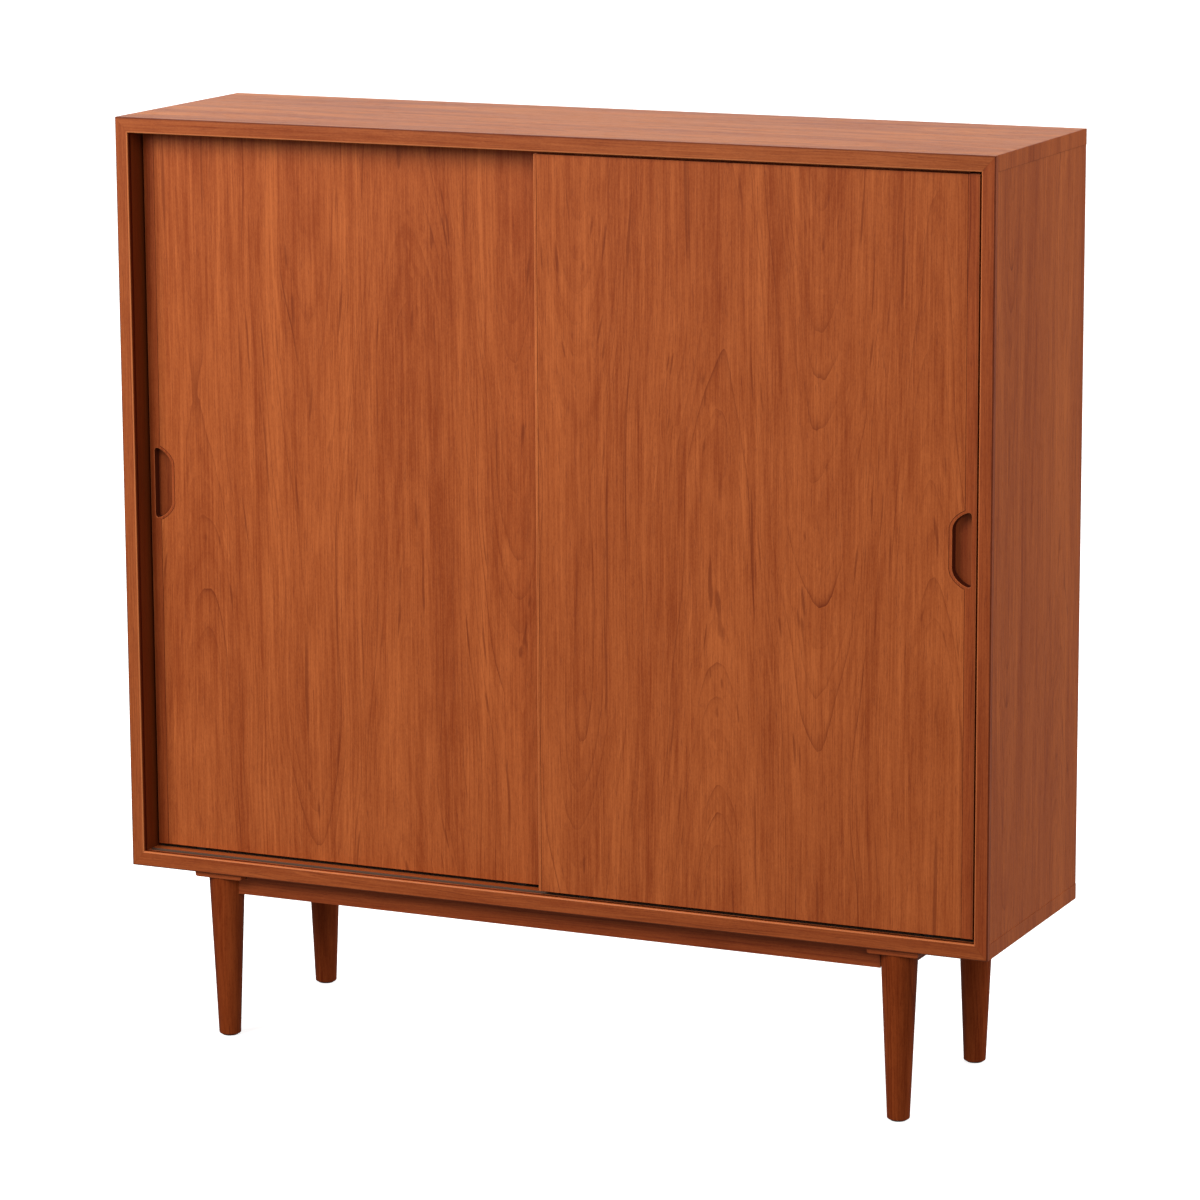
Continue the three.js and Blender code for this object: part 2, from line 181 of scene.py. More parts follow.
class SideboardFinish(bpy.types.PropertyGroup):
    """Colours of the wood, as linear values, and the size of its figure."""

    veneer: bpy.props.FloatVectorProperty(
        name="Veneer",
        description="Middle tone of the door and side veneer",
        default=(0.430, 0.092, 0.020),
        subtype="COLOR",
    )
    solid: bpy.props.FloatVectorProperty(
        name="Solid wood",
        description="Middle tone of the lippings, rails and plates",
        default=(0.310, 0.058, 0.013),
        subtype="COLOR",
    )
    turned: bpy.props.FloatVectorProperty(
        name="Turned wood",
        description="Middle tone of the legs",
        default=(0.232, 0.038, 0.007),
        subtype="COLOR",
    )
    leaf: bpy.props.FloatProperty(
        name="Veneer leaf",
        description="Width of one leaf of veneer",
        default=147 * MM,
        unit="LENGTH",
    )
    ring: bpy.props.FloatProperty(
        name="Growth ring",
        description="Distance between two growth rings",
        default=4.5 * MM,
        unit="LENGTH",
    )


# ---- shader arithmetic ----


class Wire:
    """A value that a node puts out. Arithmetic on it adds Math nodes."""

    def __init__(self, finish, socket):
        self.finish = finish
        self.socket = socket

    def _math(self, operation, *values):
        return self.finish.node(
            "ShaderNodeMath", {"operation": operation}, dict(enumerate(values))
        )

    def __add__(self, other):
        return self._math("ADD", self, other)

    def __radd__(self, other):
        return self._math("ADD", other, self)

    def __sub__(self, other):
        return self._math("SUBTRACT", self, other)

    def __rsub__(self, other):
        return self._math("SUBTRACT", other, self)

    def __mul__(self, other):
        return self._math("MULTIPLY", self, other)

    def __rmul__(self, other):
        return self._math("MULTIPLY", other, self)

    def __truediv__(self, other):
        return self._math("DIVIDE", self, other)

    def __pow__(self, other):
        return self._math("POWER", self, other)

    def __mod__(self, other):
        return self._math("FLOORED_MODULO", self, other)

    def floor(self):
        return self._math("FLOOR", self)

    def fract(self):
        return self._math("FRACT", self)

    def root(self):
        return self._math("SQRT", self)

    def size(self):
        return self._math("ABSOLUTE", self)

    def below(self, limit):
        return self._math("LESS_THAN", self, limit)

    def ramp(self, low, high):
        """0 below low, 1 above high, and smooth between them."""
        settings = {"interpolation_type": "SMOOTHSTEP"}
        return self.finish.node(
            "ShaderNodeMapRange", settings, {"Value": self, "From Min": low, "From Max": high}
        )


class Finish:
    """A node material under construction."""

    def __init__(self, name):
        self.material = bpy.data.materials.new(name)
        self.material.use_nodes = True
        self.tree = self.material.node_tree
        self.tree.nodes.clear()

    def node(self, kind, settings=None, values=None, out=0):
        """Adds a node, gives it its settings, then its values or links, and returns an output."""
        made = self.tree.nodes.new(kind)
        for key, value in (settings or {}).items():
            setattr(made, key, value)
        for key, value in (values or {}).items():
            if isinstance(value, Wire):
                self.tree.links.new(value.socket, made.inputs[key])
            else:
                made.inputs[key].default_value = value
        return Wire(self, made.outputs[out])

    def place(self):
        """The three object coordinates, in metres."""
        point = self.node("ShaderNodeTexCoord", out="Object")
        made = self.node("ShaderNodeSeparateXYZ", None, {0: point}).socket.node
        return [Wire(self, socket) for socket in made.outputs]

    def vector(self, x, y, z):
        return self.node("ShaderNodeCombineXYZ", None, {0: x, 1: y, 2: z})

    def noise(self, x, y, z, detail=2.0, roughness=0.5):
        values = {"Vector": self.vector(x, y, z), "Scale": 1.0}
        values.update({"Detail": detail, "Roughness": roughness})
        return self.node("ShaderNodeTexNoise", None, values)

    def chance(self, value):
        """A number from 0 to 1 that looks random, the same for the same value."""
        return self.node("ShaderNodeTexWhiteNoise", {"noise_dimensions": "1D"}, {"W": value})

    def mix(self, factor, first, second):
        """Colours: first where factor is 0, second where it is 1."""
        values = {0: factor, 6: first, 7: second}
        return self.node("ShaderNodeMix", {"data_type": "RGBA"}, values, out=2)

    def surface(self, values, height=None, strength=0.0, distance=0.0):
        """Ends the material in a Principled shader, with a bump where a height is given."""
        if height is not None:
            bump = {"Strength": strength, "Distance": distance, "Height": height}
            values["Normal"] = self.node("ShaderNodeBump", None, bump)
        shader = self.node("ShaderNodeBsdfPrincipled", None, values)
        output = self.tree.nodes.new("ShaderNodeOutputMaterial")
        self.tree.links.new(shader.socket, output.inputs["Surface"])
        return self.material


def tinted(colour, tint):
    """A colour with a gain on each of its three parts."""
    return [part * gain for part, gain in zip(colour, tint)]


def rgba(colour, gain=1.0):
    """A colour with a gain on all of it, for a colour socket."""
    return (*(min(1.0, part * gain) for part in colour), 1.0)


# ---- wood ----

# Each kind of mark in the wood: how often it comes in a metre across the grain and along it, and
# the detail and roughness of the noise that draws it.
RING_BREAK = (25, 3, 2.0, 0.5)
STREAK = (24, 0.6, 5.0, 0.92)
MOTTLE = (40, 14, 4.0, 0.8)
FIBRE = (480, 8, 2.0, 0.7)
SPECKLE = (700, 330, 1.0, 0.5)
PORE = (1300, 60, 1.0, 0.5)

# Colours in the wood, as gains on its middle tone. The last three are a painted highlight for
# rounded edges; a dark tone for joint lines, grime and painted shade; and painted shade for the
# faces beside the door channel.
PLAIN = (1.00, 1.00, 1.00)
DARK = (0.72, 0.60, 0.52)
LIGHT = (1.28, 1.48, 1.62)
VEIN = (0.42, 0.28, 0.24)
ARRIS_HIGHLIGHT = (1.85, 2.60, 3.50)
JOINT_GRIME_AND_SHADE = (0.22, 0.13, 0.09)
CHANNEL_SHADE_TONE = (0.30, 0.20, 0.14)

OILED_GLOSS = 0.42
OILED_SHINE = 0.2

# The width of a growth ring in solid wood, and the number that the count of rings starts at, so
# that no ring's number is below zero.
SOLID_RING = 3.2 * MM
FIRST_RING = 60


class Grain:
    """Which way the wood runs in a piece: along the grain, across the face, into the face."""

    def __init__(self, along, across, seed):
        self.along = "XYZ".index(along)
        self.across = "XYZ".index(across)
        self.depth = 3 - self.along - self.across
        self.seed = seed

    def axes(self, place):
        """The coordinates along the grain, across it and into the face."""
        return place[self.along], place[self.across], place[self.depth]


def wood_surface(finish, colour, figure, where, contrast, gloss, shine, shade):
    """Colour, gloss and pores of oiled wood. figure counts its growth rings.

    shade is 1 where shade is painted on the faces beside the door channel, or None where no part
    of it is.
    """
    along, across, depth = where

    def marks(kind):
        often_across, often_along, detail, roughness = kind
        place = (across * often_across, depth * often_across, along * often_along)
        return finish.noise(*place, detail, roughness)

    def toned(base, amount, gains):
        return finish.mix(amount, base, rgba(tinted(colour, gains)))

    phase = figure.fract()
    strength = finish.chance(figure.floor() + 0.5) ** 3
    late_wood = phase**10 * (0.08 + strength * 1.1) * marks(RING_BREAK).ramp(0.38, 0.62)
    season = finish.noise(figure * 0.16, depth * 3, along * 0.8, 4.0, 0.75) - 0.5
    streaks = marks(STREAK) - 0.5
    mottle = marks(MOTTLE) - 0.5
    fibre = marks(FIBRE) - 0.5
    speckle = marks(SPECKLE) - 0.5
    pores = marks(PORE).ramp(0.60, 0.72)
    threads = finish.noise(figure * 1.1, across * 90 + depth * 90, along * 2.2 + 5, 1.0)
    dark_threads = threads.ramp(0.66, 0.76)
    light_threads = threads.ramp(0.34, 0.24)

    tone = 0.54 + season * (1.7 * contrast) + streaks * (1.9 * contrast)
    tone = tone + mottle * (0.70 * contrast) + light_threads * (0.30 * contrast)
    tone = tone + fibre * 1.15 + speckle * 0.5 - phase * 0.08
    base = finish.mix(tone, rgba(tinted(colour, DARK)), rgba(tinted(colour, LIGHT)))
    base = toned(base, late_wood * (0.9 * contrast), VEIN)
    base = toned(base, dark_threads * (0.55 * contrast), VEIN)
    base = toned(base, pores * 0.38, VEIN)

    # The attribute holds painted highlights, painted shade and dark joint lines.
    wear = finish.node("ShaderNodeAttribute", {"attribute_name": PAINTED_LIGHT_AND_JOINTS}, out="Fac")
    painted_highlight = wear.ramp(0.0, 1.0)
    dark_joint_grime_and_shade = (0 - wear).ramp(0.0, 1.0)
    # A painted highlight on rounded edges.
    base = toned(base, painted_highlight * 0.85, ARRIS_HIGHLIGHT)
    # Darkens joint lines and grime, and paints shade in corners, creases and the pulls.
    base = toned(base, dark_joint_grime_and_shade * 0.92, JOINT_GRIME_AND_SHADE)
    # Painted shade on the faces beside the door channel.
    if shade is not None:
        base = toned(base, shade * 0.8, CHANNEL_SHADE_TONE)

    roughness = gloss + fibre * 0.10 + pores * 0.18 + mottle * 0.12 - painted_highlight * 0.05 + dark_joint_grime_and_shade * 0.25
    height = fibre * 0.30 - pores * 0.70 - late_wood * 0.12 + streaks * 0.15
    values = {"Base Color": base, "Roughness": roughness, "IOR": 1.5}
    values["Specular IOR Level"] = shine
    return finish.surface(values, height, strength=0.22, distance=0.25 * MM)


def veneer(
    name,
    grain,
    tint=PLAIN,
    leaves=1.0,
    rings=1.0,
    first_leaf=None,
    contrast=1.0,
    gloss=OILED_GLOSS,
    channel=False,
):
    """Crown-cut leaves laid side by side, each with arches that run along the grain.

    leaves and rings are gains on the widths of a leaf and of a growth ring. first_leaf is the
    node at whose left side a leaf starts.
    """
    look = bpy.context.scene.sideboard_finish
    leaf = look.leaf * leaves
    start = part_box(first_leaf)[0].x if first_leaf else 0.0
    finish = Finish(name)
    place = finish.place()
    along, across, depth = grain.axes(place)
    counted = (across - start) / leaf
    number = counted.floor()
    first = finish.chance(number * 3 + grain.seed)
    second = finish.chance(number * 3 + grain.seed + 1)
    flip = 1 - 2 * ((number + grain.seed) % 2)

    # Each leaf has a pith of its own, which wanders below its face, so its rings make arches.
    shift = along + second * 3 + grain.seed
    drift = finish.noise(number * 7 + across * 5, shift * 1.7, grain.seed, 2.0) - 0.5
    pith_aside = (counted.fract() - 0.5 + (first - 0.5) * 0.3) * leaf + drift * (70 * MM)
    pith_depth = 20 * MM + 70 * MM * finish.noise(number * 7, shift * 1.3, grain.seed + 4, 1.0)
    ripple = finish.noise(across * 40, depth * 40, shift * 6, 3.0) - 0.5
    radius = (pith_aside * pith_aside + pith_depth * pith_depth).root()
    figure = radius / (look.ring * rings) + flip * along * 11 + second * 9 + ripple * 0.6
    figure = figure + FIRST_RING

    shade = channel_shade(place) if channel else None
    where = (along, across, depth)
    colour = tinted(look.veneer, tint)
    return wood_surface(finish, colour, figure, where, contrast, gloss, OILED_SHINE, shade)


def timber(
    name,
    grain,
    tint=PLAIN,
    stock="solid",
    ring=SOLID_RING,
    contrast=0.9,
    shine=OILED_SHINE,
    channel=False,
):
    """Solid wood: growth rings round a pith that lies outside the piece.

    stock is the property that holds the wood's middle tone.
    """
    look = bpy.context.scene.sideboard_finish
    finish = Finish(name)
    place = finish.place()
    along, across, depth = grain.axes(place)
    wander = finish.noise(across * 6, depth * 6, along * 1.9 + grain.seed, 2.0) - 0.5
    pith_aside = across + 110 * MM + wander * (50 * MM)
    pith_depth = depth + (60 * MM + grain.seed * 10 * MM)
    radius = (pith_aside * pith_aside + pith_depth * pith_depth).root()
    figure = radius / ring + along * 1.3 + wander * 3 + FIRST_RING

    shade = channel_shade(place) if channel else None
    where = (along, across, depth)
    colour = tinted(getattr(look, stock), tint)
    return wood_surface(finish, colour, figure, where, contrast, OILED_GLOSS, shine, shade)


def channel_shade(place):
    """1 on the inner faces of the sides where the doors run, where shade is painted."""
    x, y, _ = place
    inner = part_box("right_side_panel")[0].x + NEAR
    rear_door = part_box("left_door_panel")[1].y
    fade = 30 * MM
    return x.size().below(inner) * y.ramp(rear_door + fade, rear_door)


def plain_surface(name, colour, roughness, metallic=0.0, grain=900.0, bump=0.05):
    """Moulded plastic or plated steel: a fine even grain and slightly uneven gloss."""
    finish = Finish(name)
    x, y, z = finish.place()
    fine = finish.noise(x * grain, y * grain, z * grain, 2.0) - 0.5
    broad = finish.noise(x * 30, y * 30, z * 30, 2.0) - 0.5
    tint = 0.5 + fine * 0.4 + broad * 0.8
    base = finish.mix(tint, rgba(colour, 0.86), rgba(colour, 1.14))
    values = {"Base Color": base, "Roughness": roughness + fine * 0.10 + broad * 0.10}
    values["Metallic"] = metallic
    return finish.surface(values, fine, strength=bump, distance=0.1 * MM)


# ---- finishes ----

# A recipe with channel paints shade on the faces beside the door channel.
VENEERS = {
    "door_veneer_left": {"grain": Grain("Z", "X", 2.0), "first_leaf": "left_door_panel"},
    "door_veneer_right": {"grain": Grain("Z", "X", 17.0), "first_leaf": "right_door_panel"},
    "top_veneer": {
        "grain": Grain("X", "Y", 5.0),
        # The top's paler, pinker tint is painted sheen: the light that the top reflects at a
        # grazing view.
        "tint": (0.98, 1.20, 1.00),
        "leaves": 1.2,
        "contrast": 1.3,
    },
    "side_veneer": {
        "grain": Grain("Z", "Y", 8.0),
        "tint": (0.95, 0.95, 0.86),
        "leaves": 1.3,
        "rings": 0.6,
        "contrast": 0.9,
        "channel": True,
    },
    "end_band_wood": {
        "grain": Grain("Z", "Y", 4.0),
        "tint": (0.92, 0.91, 0.82),
        "leaves": 1.3,
        "rings": 0.6,
        "contrast": 0.9,
    },
    "shelf_veneer": {"grain": Grain("X", "Y", 11.0), "contrast": 0.8, "gloss": 0.5},
    "partition_veneer": {"grain": Grain("Z", "Y", 3.0), "contrast": 0.8, "gloss": 0.5},
    "back_veneer": {
        "grain": Grain("Z", "X", 13.0),
        "leaves": 1.6,
        "contrast": 0.7,
        "gloss": 0.6,
    },
}

BASE_TINT = (1.00, 0.98, 0.92)
# The left and right frame woods paint shade on their faces beside the door channel.
TIMBERS = {
    "frame_wood_left": {
        "grain": Grain("Z", "X", 12.0),
        "tint": (1.20, 1.40, 1.45),
        "channel": True,
    },
    "frame_wood_right": {
        "grain": Grain("Z", "X", 15.0),
        "tint": (1.12, 1.14, 1.10),
        "channel": True,
    },
    "frame_wood_top": {"grain": Grain("X", "Z", 14.0), "tint": (1.20, 1.45, 1.60)},
    "frame_wood_bottom": {"grain": Grain("X", "Z", 10.0), "tint": (1.12, 1.22, 1.20)},
    "base_wood_along_x": {"grain": Grain("X", "Z", 1.0), "tint": BASE_TINT},
    "base_wood_along_y": {"grain": Grain("Y", "Z", 2.0), "tint": BASE_TINT},
    "solid_along_z": {"grain": Grain("Z", "X", 3.0)},
    "pull_strip_wood": {"grain": Grain("Z", "X", 7.0), "tint": (1.15, 1.15, 1.10)},
    "edge_strip_wood": {
        "grain": Grain("Z", "X", 9.0),
        "tint": (1.15, 1.25, 1.35),
        "stock": "veneer",
    },
    "turned_wood": {
        "grain": Grain("Z", "X", 6.0),
        "stock": "turned",
        "ring": 4.5 * MM,
        "contrast": 1.3,
        "shine": 0.06,
    },
}

PLAIN_SURFACES = {
    "rail_plastic": {"colour": (0.115, 0.058, 0.034), "roughness": 0.55},
    "wheel_nylon": {"colour": (0.035, 0.028, 0.022), "roughness": 0.38},
    "housing_plastic": {
        "colour": (0.030, 0.026, 0.023),
        "roughness": 0.48,
        "grain": 1400.0,
        "bump": 0.12,
    },
    "zinc_steel": {
        "colour": (0.60, 0.60, 0.58),
        "roughness": 0.28,
        "metallic": 1.0,
        "grain": 1600.0,
        "bump": 0.04,
    },
    "glide_plastic": {"colour": (0.045, 0.022, 0.012), "roughness": 0.55},
}

# The materials made so far, by name.
MATERIALS = {}


def material(name):
    """The finish called name, made the first time it is asked for."""
    if name not in MATERIALS:
        kinds = ((veneer, VENEERS), (timber, TIMBERS), (plain_surface, PLAIN_SURFACES))
        make, recipe = next((make, recipes[name]) for make, recipes in kinds if name in recipes)
        MATERIALS[name] = make(name, **recipe)
    return MATERIALS[name]


# ---- shapes ----

# A rounding's radius, and the mark that its new faces get: a painted highlight above zero, painted
# shade or a dark joint line below it.
Rounding = namedtuple("Rounding", "radius wear")
SHARP = Rounding(0.0, 0.0)


def evenly(radius, wear=0.0):
    """The same rounding on every edge."""
    return lambda edge: Rounding(radius, wear)


def near(first, second):
    return abs(first - second) < NEAR


def sharp_edges(bm, limit=math.radians(30)):
    return [e for e in bm.edges if e.is_manifold and e.calc_face_angle(0.0) > limit]


def bevel(bm, edges, radius, segments):
    """Rounds the edges and returns the new faces."""
    made = bmesh.ops.bevel(
        bm,
        geom=edges,
        offset=radius,
        offset_type="OFFSET",
        segments=segments,
        profile=0.5,
        affect="EDGES",
        clamp_overlap=True,
        material=-1,
    )
    return made["faces"]


def mark_light_and_joints(bm, faces, wear):
    """Marks faces with a value: up to 1 for a painted highlight, down to -1 for painted shade,
    dark joint lines and grime.
    """
    layer = bm.faces.layers.float[PAINTED_LIGHT_AND_JOINTS]
    for face in faces:
        face[layer] = wear


def shade_evenly(piece):
    """Smooth arrises between flat faces."""
    for polygon in piece.data.polygons:
        polygon.use_smooth = True
    weights = piece.modifiers.new("flat faces stay flat", "WEIGHTED_NORMAL")
    weights.mode = "FACE_AREA"
    weights.weight = 50


def add_object(name, data):
    """A new object of the scene that shows data."""
    made = bpy.data.objects.new(name, data)
    bpy.context.scene.collection.objects.link(made)
    return made


def add_mesh(name, bm, look):
    """A new object with the bmesh's shape and the material look."""
    mesh = bpy.data.meshes.new(name)
    bm.to_mesh(mesh)
    bm.free()
    mesh.materials.append(look)
    return add_object(name, mesh)


def finish_piece(bm, name, look, node):
    """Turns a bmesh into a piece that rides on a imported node's body and stands for the node."""
    piece = add_mesh(name, bm, material(look))
    shade_evenly(piece)
    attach(piece, node_body(node))
    node_slot(node)
    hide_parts(node)


def node_slot(node):
    slots = {part["node"]: part["material_slot"] for part in frame["record"]["subparts"]}
    return slots[node]


def node_body(node):
    bodies = frame["record"]["behaviour"]["bodies"]
    return next(body for body, nodes in bodies.items() if node in nodes)


def copy_of(node):
    """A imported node's shape as one clean bmesh, without the cuts between flat triangles."""
    bm = bmesh.new()
    bm.from_mesh(frame["nodes"][node].data)
    bm.faces.layers.float.new(PAINTED_LIGHT_AND_JOINTS)
    bmesh.ops.remove_doubles(bm, verts=bm.verts, dist=0.005 * MM)
    bmesh.ops.dissolve_limit(
        bm,
        angle_limit=math.radians(0.5),
        use_dissolve_boundaries=False,
        verts=bm.verts,
        edges=bm.edges,
    )
    return bm


def eased(node, look, rounding, segments=2, face_shade_and_grime=None):
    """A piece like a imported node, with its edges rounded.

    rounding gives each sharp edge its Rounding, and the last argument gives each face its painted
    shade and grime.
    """
    bm = copy_of(node)
    if face_shade_and_grime:
        for face in bm.faces:
            mark_light_and_joints(bm, [face], face_shade_and_grime(face))
    groups = {}
    for edge in sharp_edges(bm):
        groups.setdefault(rounding(edge), []).append(edge)
    groups.pop(SHARP, None)
    for radius, wear in sorted(groups, reverse=True):
        edges = [edge for edge in groups[radius, wear] if edge.is_valid]
        mark_light_and_joints(bm, bevel(bm, edges, radius, segments), wear)
    finish_piece(bm, f"{node}_finished", look, node)


def turned(profile, steps):
    """A bmesh turned about the Z axis from (radius, height) pairs, which start and end on it."""
    bm = bmesh.new()
    verts = [bm.verts.new((radius, 0.0, height)) for radius, height in profile]
    edges = [bm.edges.new(pair) for pair in zip(verts, verts[1:])]
    bmesh.ops.spin(
        bm,
        geom=verts + edges,
        cent=(0, 0, 0),
        axis=(0, 0, 1),
        angle=math.tau,
        steps=steps,
        use_merge=True,
        use_duplicate=False,
    )
    bmesh.ops.remove_doubles(bm, verts=bm.verts, dist=0.002 * MM)
    bmesh.ops.recalc_face_normals(bm, faces=bm.faces)
    return bm


def quarter(centre, radius, start, steps=6):
    """Points on a quarter circle in (radius, height), from angle start, a right angle onwards."""
    angles = [math.radians(start + 90 * step / steps) for step in range(steps + 1)]
    return [(centre[0] + radius * math.cos(a), centre[1] + radius * math.sin(a)) for a in angles]


# ---- pieces ----


class SIDEBOARD_OT_carcass(bpy.types.Operator):
    """Veneered panels, their end bands, the back and the partition"""

    bl_idname = "sideboard.carcass"
    bl_label = "Carcass"

    def execute(self, context):
        sizes = context.scene.sideboard_sizes
        board = evenly(sizes.board_arris)
        joint = evenly(sizes.joint_line, wear=-0.55)
        eased("top_panel", "top_veneer", evenly(sizes.joint_line, wear=-0.3))
        eased("bottom_panel", "shelf_veneer", joint)
        eased("back_panel", "back_veneer", board)
        eased("centre_partition", "partition_veneer", board)
        # The partition lipping's rounded edges get a painted highlight.
        painted_highlight = evenly(2 * sizes.board_arris, wear=1.0)
        eased("partition_lipping", "solid_along_z", painted_highlight, segments=3)
        for side in SIDES:
            eased(f"{side}_side_panel", "side_veneer", joint)
            eased(f"end_band_top_{side}", "end_band_wood", joint)
            eased(f"end_band_bottom_{side}", "end_band_wood", joint)
        return {"FINISHED"}


class SIDEBOARD_OT_front_frame(bpy.types.Operator):
    """The mitred lippings round the front opening"""

    bl_idname = "sideboard.front_frame"
    bl_label = "Front frame"

    def execute(self, context):
        rounding = frame_rounding(context.scene.sideboard_sizes)
        for place in ("top", "bottom", *SIDES):
            eased(f"front_lipping_{place}", f"frame_wood_{place}", rounding, segments=4)
        return {"FINISHED"}


def frame_rounding(sizes):
    """The front frame's inner edges get a painted highlight, and its outer ones are rounder, with
    painted shade.
    """
    front = CAD_BOX[0].y
    side = CAD_BOX[1].x
    heights = (CAD_BOX[1].z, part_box("bottom_panel")[0].z)

    def rounding(edge):
        ends = [v.co for v in edge.verts]
        if not all(near(end.y, front) for end in ends):
            return SHARP
        # Painted shade on the rounded corners where the front meets the sides.
        if all(near(abs(end.x), side) for end in ends):
            return Rounding(sizes.corner_arris, wear=-0.65)
        # Slight painted shade on the rounded top and bottom edges.
        if any(all(near(end.z, height) for end in ends) for height in heights):
            return Rounding(sizes.outer_arris, wear=-0.1)
        direction = (ends[1] - ends[0]).normalized()
        is_mitre = abs(direction.x) > 0.3 and abs(direction.z) > 0.3
        # A painted highlight on the rounded inner edges.
        return SHARP if is_mitre else Rounding(sizes.inner_arris, wear=1.0)

    return rounding


class SIDEBOARD_OT_shelves(bpy.types.Operator):
    """Fixed and loose shelves, and the steel pins that carry the loose ones"""

    bl_idname = "sideboard.shelves"
    bl_label = "Shelves"

    def execute(self, context):
        small = context.scene.sideboard_sizes.board_arris
        for side in SIDES:
            # The shelves' rounded edges get a painted highlight.
            eased(f"fixed_shelf_{side}", "shelf_veneer", evenly(small, wear=0.6))
            eased(f"loose_shelf_{side}", "shelf_veneer", evenly(2 * small, wear=0.6))
            for wall in ("outer", "inner"):
                for row in ROWS:
                    eased(f"shelf_pin_{side}_{wall}_{row}", "zinc_steel", evenly(PIN_ARRIS))
        return {"FINISHED"}


class SIDEBOARD_OT_doors(bpy.types.Operator):
    """Both doors, with their edge strips and finger pulls"""

    bl_idname = "sideboard.doors"
    bl_label = "Doors"

    def execute(self, context):
        sizes = context.scene.sideboard_sizes
        joint = evenly(sizes.joint_line, wear=-1.0)
        for side in SIDES:
            panel = f"{side}_door_panel"
            # The rounded door edges and the pulls' rims get painted highlights, and the pulls'
            # hollows painted shade.
            strip = PullStrip(f"{side}_door_pull_lipping", panel, sizes, painted_highlight=0.7)
            edging = EdgeStrip(f"{side}_door_leading_lipping", panel, sizes, painted_highlight=0.5)
            eased(panel, f"door_veneer_{side}", joint)
            eased(
                strip.node,
                "pull_strip_wood",
                strip.rounding,
                segments=3,
                face_shade_and_grime=strip.face_shade_and_grime,
            )
            eased(edging.node, "edge_strip_wood", edging.rounding, segments=3)
        return {"FINISHED"}


class EdgeStrip:
    """A strip on a door, with a painted highlight on its rounded edge at the door's edge, and a
    fine dark line at its joint.
    """

    def __init__(self, node, panel, sizes, painted_highlight):
        self.node = node
        self.sizes = sizes
        self.painted_highlight = painted_highlight
        self.low, self.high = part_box(node)
        self.edge_x = self.low.x if self.low.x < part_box(panel)[0].x else self.high.x

    def is_door_edge(self, edge):
        return all(near(v.co.x, self.edge_x) for v in edge.verts)

    def rounding(self, edge):
        if self.is_door_edge(edge):
            return Rounding(self.sizes.door_arris, self.painted_highlight)
        return Rounding(self.sizes.joint_line, wear=-1.0)


class PullStrip(EdgeStrip):
    """An edge strip with a finger pull cut into it."""

    def __init__(self, node, panel, sizes, painted_highlight):
        super().__init__(node, panel, sizes, painted_highlight)
        inset = math.copysign(PULL_INSET, self.edge_x)
        self.pull = Vector((self.edge_x - inset, 0, sizes.pull_height))

    def is_wall(self, face):
        """Whether a face is a wall of the finger pull."""
        towards = self.pull - face.calc_center_median()
        towards.y = 0
        is_close = towards.length < PULL_REACH
        return is_close and abs(face.normal.y) < 0.5 and face.normal.dot(towards) > 0

    def rounding(self, edge):
        """A painted highlight on the pull's rim, and painted shade in the crease where its walls
        meet its floor.
        """
        if self.is_door_edge(edge) or not any(self.is_wall(face) for face in edge.link_faces):
            return super().rounding(edge)
        is_rim = all(v.co.y < self.low.y + NEAR for v in edge.verts)
        if is_rim:
            return Rounding(self.sizes.pull_arris, wear=0.5)
        return Rounding(self.sizes.pull_cove, wear=-1.0)

    def face_shade_and_grime(self, face):
        """Painted shadow and some finger grime on the pull's walls, and lighter painted shade on
        its floor.
        """
        if self.is_wall(face):
            return -1.0
        middle = face.calc_center_median().y
        is_sunk = self.low.y + 1 * MM < middle < self.high.y - 1 * MM
        return -0.2 if is_sunk and face.normal.y < -0.9 else 0.0


class SIDEBOARD_OT_running_gear(bpy.types.Operator):
    """Door rails, rollers and their housings"""

    bl_idname = "sideboard.running_gear"
    bl_label = "Running gear"

    def execute(self, context):
        for row in ROWS:
            eased(f"door_rail_{row}", "rail_plastic", evenly(MOULDED_ARRIS))
        for side in SIDES:
            for number in (1, 2):
                roller = f"{side}_door_roller_{number}"
                eased(f"{roller}_housing", "housing_plastic", evenly(HOUSING_ARRIS))
                eased(f"{roller}_wheel", "wheel_nylon", evenly(MOULDED_ARRIS))
        return {"FINISHED"}


